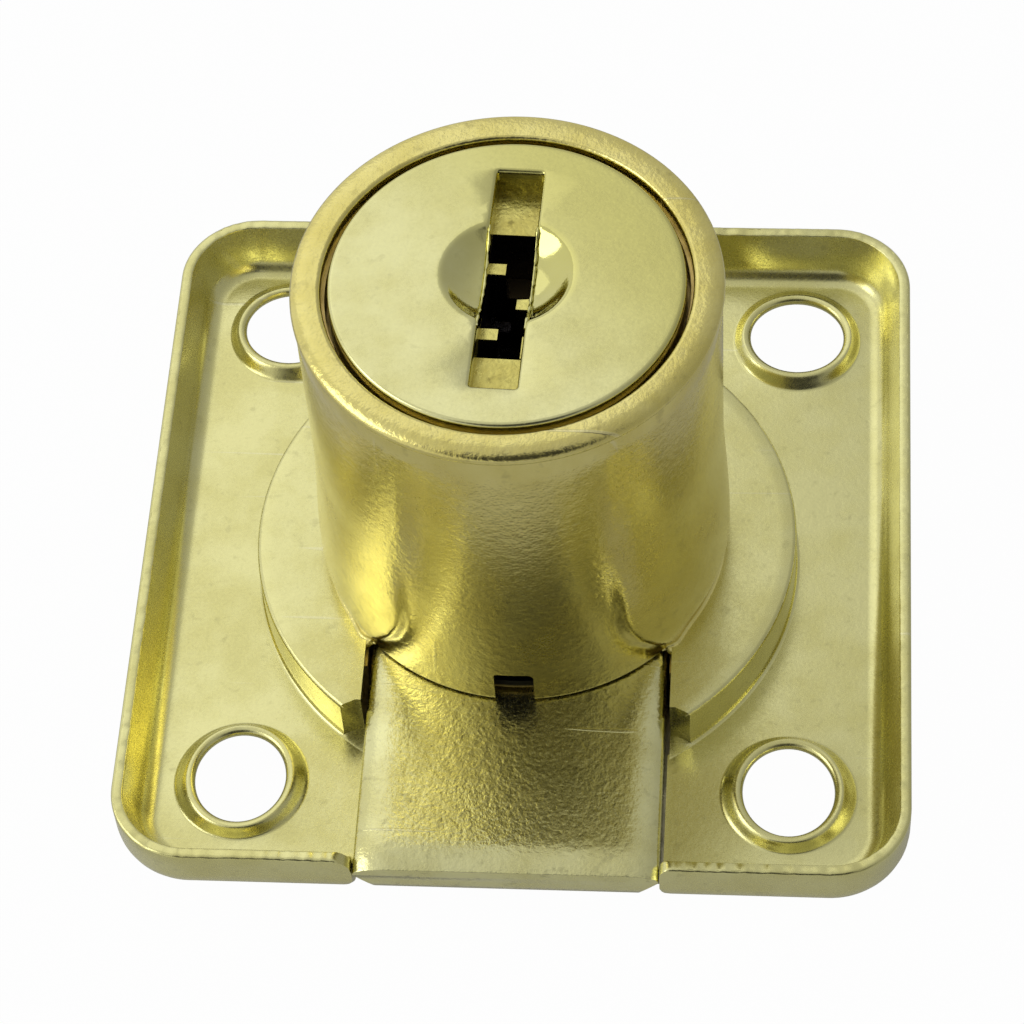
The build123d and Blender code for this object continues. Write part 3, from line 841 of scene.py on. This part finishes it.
def seats_mesh():
    """The four seats, repeated by the node tree."""
    profile = seat_profile()
    points = [(x, y, level) for radius, level in profile for x, y in ring(radius, SEAT_STEPS)]
    seat = new_object("seat", points, grid_faces(len(profile), SEAT_STEPS, close_columns=True))
    values = {"Across": SEAT_ACROSS * MM, "Along": SEAT_ALONG * MM, "Middle": (0, SEAT_MIDDLE * MM, 0)}
    run_tree(seat, make_seat_tree(), {**values, "Finish": BRASS})
    points = [drawn_out(*(vertex.co / MM)) for vertex in seat.data.vertices]
    faces = [tuple(face.vertices) for face in seat.data.polygons]
    bpy.data.objects.remove(seat)
    return points, faces


def floor_opening():
    """The round hole for the boss, open towards the bolt, from one side of the channel to the other."""
    radius = BOSS - 0.05
    turn = math.asin(CHANNEL_HALF / radius)
    return [(radius * math.sin(a), -radius * math.cos(a)) for a in np.linspace(turn, 2 * math.pi - turn, 90)]


def floor_mesh(level):
    """One face of the floor sheet, with its holes for the boss and the seats."""
    seats = [(x * SEAT_ACROSS / 2, SEAT_MIDDLE + y * SEAT_ALONG / 2) for x in (-1, 1) for y in (-1, 1)]
    loops = [tray_path(RIM_INSET) + floor_opening()[::-1]]
    loops += [[(x + px, y + py) for px, py in ring(SEAT_FOOT, SEAT_STEPS)] for x, y in seats]
    places, _, faces = filled_sheet(loops, [], inside_only=True)
    points = [(place.x, place.y, level) for place in places]
    kept = []
    for face in faces:
        x, y = middle_of(points, face)
        if all(math.hypot(x - seat_x, y - seat_y) >= SEAT_FOOT for seat_x, seat_y in seats):
            kept.append(face)
    return points, kept


def channel_mesh():
    """The cut edge of the floor sheet, beside the bolt's channel and round the boss."""
    front = -CASE_HALF + RIM_INSET
    line = [(CHANNEL_HALF, front), *floor_opening(), (-CHANNEL_HALF, front)]
    return [(x, y, z) for x, y in line for z in (CASE_REAR, FLOOR)], grid_faces(len(line), 2)


def make_tray():
    meshes = joined(rim_mesh(), floor_mesh(FLOOR), floor_mesh(CASE_REAR), seats_mesh(), channel_mesh())
    piece = new_object("tray", *meshes)
    finish_mesh(piece, BRASS, 42)
    return piece


# Boss


def boss_profile():
    """(radius, level) of the boss's sheet: its flared foot, side and top, then back inside."""
    rows = [(BOSS + out, FLOOR + up) for out, up in BOSS_FLARE]
    rows += arc((BOSS - BOSS_EDGE, RIM_TOP - BOSS_EDGE), BOSS_EDGE, 0, 90, 4)
    rows += [(radius, RIM_TOP) for radius in (12.2, 11.0, 10.3, BOSS_INSIDE)]
    rows += [(BOSS_INSIDE, BOSS_UNDER), (BOSS_BORE, BOSS_UNDER), (BOSS_BORE, CASE_REAR)]
    return rows + [(BOSS, CASE_REAR), (BOSS, CASE_REAR + 0.6), (BOSS + 0.2, CASE_REAR + 0.6)]


def make_boss():
    profile = boss_profile()
    turns = np.radians(np.arange(0, 360, 2))
    points = [round_axis(radius, turn, level) for turn in turns for radius, level in profile]
    piece = new_object("boss", points, grid_faces(len(turns), len(profile), True, True))
    slit = block((-SLIT_HALF, -15, 0), (SLIT_HALF, -3, 6))
    relief = prism(SLIT_RELIEF, FLOOR + 0.02, 6)
    cut_away(piece, slit, relief)
    finish_mesh(piece, BRASS, 42)
    return piece


# Barrel


def wall_radius(turn, level):
    """Radius of the barrel's outside; turn is 0 over the bolt."""
    sideways = abs(WALL_MIDDLE * math.sin(turn))
    free = BARREL + SWELL * smooth_step(SWELL_TOP, SWELL_LEVEL, level)
    tuck = FOOT_TUCK + BESIDE_TUCK * smooth_step(7.2, 8.2, sideways)
    free -= tuck * smooth_step(SWELL_LEVEL - 0.3, FLOOR + 2.7, level)
    if math.cos(turn) < 0:
        return float(free)
    rise = (level - SLIT_CEILING) / (SWELL_TOP - SLIT_CEILING)
    pressed = PRESSED_FOOT + (BARREL - PRESSED_FOOT) * rise
    arch = np.interp(level, ARCH_LEVELS, ARCH_HALVES)
    return float(pressed + (free - pressed) * smooth_step(-0.15, 0.45, sideways - arch))


def foot_rows(turn, over_slit):
    """(radius, level) where the barrel meets the boss, or where it ends over the bolt."""
    if over_slit:
        edge = wall_radius(turn, SLIT_CEILING + 0.5)
        rows = [(edge - 0.12, SLIT_CEILING), (edge - 0.03, SLIT_CEILING + 0.015)]
        return rows + [(wall_radius(turn, z), z) for z in np.linspace(SLIT_CEILING + 0.06, 4.92, 6)]
    lift = RIM_TOP + FOOT_ROUND
    out = wall_radius(turn, lift) + FOOT_ROUND
    bend = np.radians(np.linspace(0, 90, 7))
    rows = [(out + 0.3, RIM_TOP - 0.1)]
    return rows + [(out - FOOT_ROUND * math.sin(a), lift - FOOT_ROUND * math.cos(a)) for a in bend]


def end_rows(turn):
    """(radius, level) over the rolled end of the barrel, fuller at the rear, and back down its bore."""
    share = 1 - END_REAR_FULLNESS * (1 - math.cos(turn))
    rows = END_NECK + END_LIP + END_ROLL
    rows = [(radius, BARREL_END - (BARREL_END - level) * share) for radius, level in rows]
    rows += [(8.7, BARREL_END), (8.45, BARREL_END)]
    middle = (BARREL_MOUTH + BARREL_MOUTH_ROUND, BARREL_END - BARREL_MOUTH_ROUND)
    rows += arc(middle, BARREL_MOUTH_ROUND, 90, 180, 4)
    under = BARREL_END - END_SHEET
    return rows + [(BARREL_MOUTH, under), (BARREL_BORE, under), (BARREL_BORE, 14)]


def barrel_column(turn, over_slit):
    """The closed profile of the barrel's wall at one turn."""
    rows = foot_rows(turn, over_slit)
    levels = [*np.arange(5.08, SWELL_TOP + 0.2, 0.24), *np.arange(14.5, 22.8, 0.6)]
    rows += [(wall_radius(turn, z), z) for z in levels] + end_rows(turn)
    if over_slit:
        return rows + [(BARREL_BORE, SLIT_CEILING), (9.0, SLIT_CEILING)]
    return rows + [(BARREL_BORE, 4.2), (10.3, 4.2)]


def barrel_turns(edge):
    """Turns in degrees, closer over the bolt, with a step at each side of the slit."""
    turns = [a for a in np.arange(-58, 58.1, 0.8) if abs(abs(a) - edge) > 0.3]
    turns += [side * (edge + step) for side in (-1, 1) for step in (-0.02, 0.02)]
    return sorted([*turns, *np.arange(60, 300.1, 2)])


def notch_cutter():
    """The square release notch at the barrel's foot, with rounded upper corners."""
    right = (NOTCH_HALF - NOTCH_RIGHT_ROUND, NOTCH_TOP - NOTCH_RIGHT_ROUND)
    left = (-NOTCH_HALF + NOTCH_LEFT_ROUND, NOTCH_TOP - NOTCH_LEFT_ROUND)
    outline = arc(right, NOTCH_RIGHT_ROUND, 0, 90, 6) + arc(left, NOTCH_LEFT_ROUND, 90, 180, 4)
    cutter = prism(outline + [(-NOTCH_HALF, 3.5), (NOTCH_HALF, 3.5)], -5, 12)
    cutter.data.transform(Matrix.Rotation(math.radians(90), 4, "X"))
    return cutter


def make_barrel():
    edge = math.degrees(math.asin(SLIT_HALF / SWOLLEN_FOOT))
    turns = barrel_turns(edge)
    columns = [barrel_column(math.radians(a), abs(a) < edge) for a in turns]
    points = []
    for turn, column in zip(np.radians(turns), columns):
        points += [round_axis(radius, turn, level) for radius, level in column]
    piece = new_object("barrel", points, grid_faces(len(turns), len(columns[0]), True, True))
    cut_away(piece, notch_cutter())
    finish_mesh(piece, BARREL_BRASS, 32)
    return piece


# Bolt


def bolt_section(y):
    """The bolt's outline at one place along it, as (x, level)."""
    nose = max(BOLT_NOSE + BOLT_NOSE_ROUND - y, 0.0)
    under = BOLT_UNDER + BOLT_NOSE_ROUND - math.sqrt(max(BOLT_NOSE_ROUND**2 - nose**2, 0.0))
    cut = max(BOLT_CORNER_CUT - CORNER_SLOPE * (y - BOLT_NOSE) - under, 0.0) + BOLT_LEAST_CUT
    top = BOLT_TOP if y < BOLT_STEP else BOLT_TAIL_TOP
    top -= BOLT_NOSE_DIP * (max(BOLT_DIP_START - y, 0.0) / (BOLT_DIP_START - BOLT_NOSE)) ** 2
    shoulder = top - BOLT_SIDE_DROP
    right = [(BOLT_HALF - cut, under), (BOLT_HALF - 0.02, under + cut), (BOLT_HALF, under + cut + 0.06)]
    right += [(BOLT_HALF, shoulder - 0.02)]
    for across, up in arc((0, 0), 1, 0, 90, 9):
        right.append((BOLT_HALF - BOLT_SIDE + BOLT_SIDE * across, shoulder + BOLT_SIDE_DROP * up))
    right += [(x, top) for x in (5.0, 4.2, 3.4, 2.4, 1.2, 0.0)]
    return right + [(-x, z) for x, z in reversed(right[:-1])]


def make_bolt():
    nose = [BOLT_NOSE + y for y in (0, 0.03, 0.08, 0.18, 0.33, 0.53, 0.78, 1.08, 1.4, 1.7, 2.0)]
    bar = [-16.2, -16.05, -15.9, -15.75, -15.3, -14, -12, -10, -7, -3, 1, BOLT_STEP - 0.02]
    stations = nose + bar + [BOLT_STEP, 6, BOLT_TAIL - 0.08, BOLT_TAIL]
    sections = [bolt_section(y) for y in stations]
    count = len(sections[0])
    points = [(x, y, z) for y, section in zip(stations, sections) for x, z in section]
    faces = grid_faces(len(stations), count, close_columns=True)
    faces += [tuple(range(count)), tuple(range(len(points) - count, len(points)))]
    piece = new_object("bolt_bar", points, faces)
    cut_away(piece, block(*PEG_SLOT))
    soften_edges(piece, 0.06, 50)
    finish_mesh(piece, BOLT_BRASS, 35)
    return piece


# Plug's cap


def dimple_depth(x, y):
    """How far the cap's face lies below its level."""
    away = math.hypot(x, y - DIMPLE_RISE)
    drop = DIMPLE_DEPTH * (1 - (away / DIMPLE) ** 3)
    return DIMPLE_LIP * math.log1p(math.exp(min(drop / DIMPLE_LIP, 50)))


def key_slot(grow):
    """The key slot's outline, grown outwards, in its leaning place."""
    corner = KEY_CORNER + grow
    x = KEY_HALF_WIDTH + grow - corner
    y = KEY_HALF_LENGTH + grow - corner
    outline = []
    for side, end, start in ((1, 1, 0), (-1, 1, 90), (-1, -1, 180), (1, -1, 270)):
        outline += arc((side * x, end * y), corner, start, start + 90, 4)
    dense = []
    for here, there in zip(outline, outline[1:] + outline[:1]):
        steps = max(1, round(math.dist(here, there) / 0.2))
        shares = [i / steps for i in range(steps)]
        dense += [(here[0] + (there[0] - here[0]) * t, here[1] + (there[1] - here[1]) * t) for t in shares]
    lean = Matrix.Rotation(KEY_LEAN, 2)
    return [tuple(lean @ Vector((x, y + KEY_RISE))) for x, y in dense]


def in_key_slot(x, y, grow):
    across, along = Matrix.Rotation(-KEY_LEAN, 2) @ Vector((x, y))
    return abs(across) < KEY_HALF_WIDTH + grow and abs(along - KEY_RISE) < KEY_HALF_LENGTH + grow


def cap_face():
    """The cap's face: slot edge, dimple and flat."""
    loops = [key_slot(grow) for grow, drop in KEY_EDGE]
    worn = dict(enumerate(drop for loop, (grow, drop) in zip(loops, KEY_EDGE) for place in loop))
    loops += [ring(radius, CAP_STEPS) for radius in (CAP - 0.23, CAP - 0.4, 6.5)]
    dish = [place for radius in np.arange(0.4, 4.0, 0.14) for place in ring(radius, 60, DIMPLE_RISE)]
    dish = [place for place in dish if not in_key_slot(*place, 0.2)]
    places, numbers, faces = filled_sheet(loops, dish, inside_only=False)
    points = []
    for place, number in zip(places, numbers):
        level = CAP_FACE - dimple_depth(place.x, place.y) - worn.get(number, 0.0)
        points.append((place.x, place.y, level))
    return points, [face for face in faces if not in_key_slot(*middle_of(points, face), -0.001)]


def cap_skirt():
    """The cap's rounded edge and its skirt, outside and inside."""
    inside = CAP - CAP_SHEET
    under = CAP_FACE - CAP_SHEET
    rows = [(CAP - 0.23, CAP_FACE)] + arc((CAP - CAP_EDGE, CAP_FACE - CAP_EDGE), CAP_EDGE, 78, 0, 5)
    rows += [(CAP, SKIRT_END), (inside, SKIRT_END), (inside, under - 0.05), (inside - 0.1, under)]
    rows += [(inside - 0.2, under)]
    points = [(x, y, level) for radius, level in rows for x, y in ring(radius, CAP_STEPS)]
    return points, grid_faces(len(rows), CAP_STEPS, close_columns=True)


def slot_wall():
    """The cut wall of the key slot through the cap's sheet."""
    line = key_slot(0.0)
    points = []
    for x, y in line:
        top = CAP_FACE - dimple_depth(x, y) - KEY_EDGE[0][1]
        points += [(x, y, top), (x, y, top - CAP_SHEET)]
    return points, grid_faces(len(line), 2, close_rows=True)


def make_cap():
    points, faces = cap_face()
    under = [(x, y, z - CAP_SHEET) for x, y, z in points]
    piece = new_object("cap_disc", *joined((points, faces), (under, faces), cap_skirt(), slot_wall()))
    finish_mesh(piece, CAP_BRASS, 42)
    return piece


# Burrs along cut and pressed edges


def make_burr(name, line, thickness, wander, seed, finish):
    """A burr along a line of points."""
    edges = [(i, i + 1) for i in range(len(line) - 1)]
    piece = new_object(name, line, [], edges)
    values = {"Thickness": thickness * MM, "Wander": wander * MM, "Seed": seed, "Finish": finish}
    run_tree(piece, BURR_TREE, values)
    piece.data.shade_smooth()
    return piece


def circle_line(radius, level, start, end, steps):
    """A line round the barrel's axis, between two turns in degrees."""
    return [round_axis(radius, turn, level) for turn in np.radians(np.linspace(start, end, steps + 1))]


def rim_line():
    """The rim's upper outer edge, but for its front corners near the bolt."""
    return [(x, y, RIM_TOP - 0.07) for x, y in tray_path(0.13) if y > -CASE_HALF + 1 or abs(x) > 8.3]


def slot_edge_line(side):
    """One long edge of the key slot where it crosses the dimple."""
    line = []
    for along in np.linspace(-2.5, 3.2, 30):
        x, y = Matrix.Rotation(KEY_LEAN, 2) @ Vector((side * (KEY_HALF_WIDTH + 0.02), along))
        line.append((x, y, CAP_FACE - max(dimple_depth(x, y) - 0.04, 0.16)))
    return line


# Everything in its place

set_camera()
set_table()
set_room()
add_lamp("left_softbox", place=(-0.20, -0.04, 0.19), size=0.13, power=0.12)
add_lamp("rear_softbox", place=(-0.08, 0.16, 0.22), size=0.16, power=0.03)

BRASS = plated_brass(
    "case_plating",
    light=(0.75, 0.715, 0.30),
    deep=(0.69, 0.645, 0.23),
    roughness=0.26,
    ripple=0.12,
    stained=0.3,
    lacquer=0.8,
)
BARREL_BRASS = plated_brass(
    "barrel_plating",
    light=(0.77, 0.68, 0.22),
    deep=(0.70, 0.60, 0.15),
    roughness=0.21,
    ripple=0.5,
    stained=0.4,
    lacquer=0.65,
)
BOLT_BRASS = plated_brass(
    "bolt_plating",
    light=(0.79, 0.765, 0.36),
    deep=(0.69, 0.65, 0.26),
    roughness=0.24,
    ripple=0.5,
    stained=0.6,
    lacquer=0.8,
)
CAP_BRASS = plated_brass(
    "cap_plating",
    light=(0.745, 0.72, 0.33),
    deep=(0.69, 0.655, 0.26),
    roughness=0.22,
    ripple=0.1,
    stained=0.2,
    lacquer=0.8,
    on_cap=True,
)
# The plug's body carries painted shade, near black below the keyway's ledge
PLUG_BRASS = plated_brass(
    "plug_plating",
    light=(0.72, 0.65, 0.19),
    deep=(0.58, 0.49, 0.11),
    roughness=0.30,
    ripple=0.5,
    stained=0.8,
    lacquer=0.2,
    painted_shade_below=22.62,
)
# The liner carries painted shade, near black inside the barrel's bore
ZINC = plain_metal("cast_zinc", (0.85, 0.66, 0.26), 0.5, painted_shade_from=4.4)
# Painted shade: the retaining wafer near black, so that the notch at the barrel's foot shows as a dark hole
PAINTED_SHADE_METAL = plain_metal("painted_shade_metal", (0.03, 0.03, 0.033), 0.5)
STEEL = plain_metal("plated_steel", (0.60, 0.58, 0.52), 0.33)
WAFER_BRASS = plain_metal("wafer_brass", (0.16, 0.12, 0.06), 0.4)
SPRING_STEEL = plain_metal("spring_wire", (0.5, 0.49, 0.47), 0.3)

put_on(make_tray(), "case", "plated_case", "lock_case")
put_on(make_boss(), "case", "plated_case", "lock_case")
put_on(make_barrel(), "case", "plated_case", "lock_case")
put_on(make_bolt(), "bolt", "plated_bolt", "bolt")
put_on(make_cap(), "plug", "plated_cap", "plug_cap")

BURR_TREE = make_burr_tree()
barrel_line = circle_line(BARREL + 0.05, BARREL_END - 0.4, -100, 100, 240)
boss_line = circle_line(BOSS - 0.06, RIM_TOP - 0.08, 38, 322, 300)
case_burrs = [
    make_burr("barrel_burr", barrel_line, 0.035, 0.1, 1.0, BARREL_BRASS),
    make_burr("boss_burr", boss_line, 0.02, 0.06, 2.0, BRASS),
    make_burr("rim_burr", rim_line(), 0.03, 0.09, 3.0, BRASS),
]
for burr in case_burrs:
    put_on(burr, "case", "plated_case")
for side, name in ((-1, "left"), (1, "right")):
    slot_burr = make_burr(f"slot_burr_{name}", slot_edge_line(side), 0.11, 0.12, 5.0 + side, CAP_BRASS)
    put_on(slot_burr, "plug", "plated_cap")

NODE_FINISH = {
    "plug_body": PLUG_BRASS,
    "retaining_wafer": PAINTED_SHADE_METAL,
    "barrel_liner": ZINC,
    "back_plate": STEEL,
}


def finish_of(name):
    """The metal of a CAD node that is shown as packed."""
    if "spring" in name:
        return SPRING_STEEL
    return NODE_FINISH.get(name, WAFER_BRASS)


for name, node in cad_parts.items():
    if name not in ("lock_case", "bolt", "plug_cap"):
        node.data.materials.clear()
        node.data.materials.append(finish_of(name))
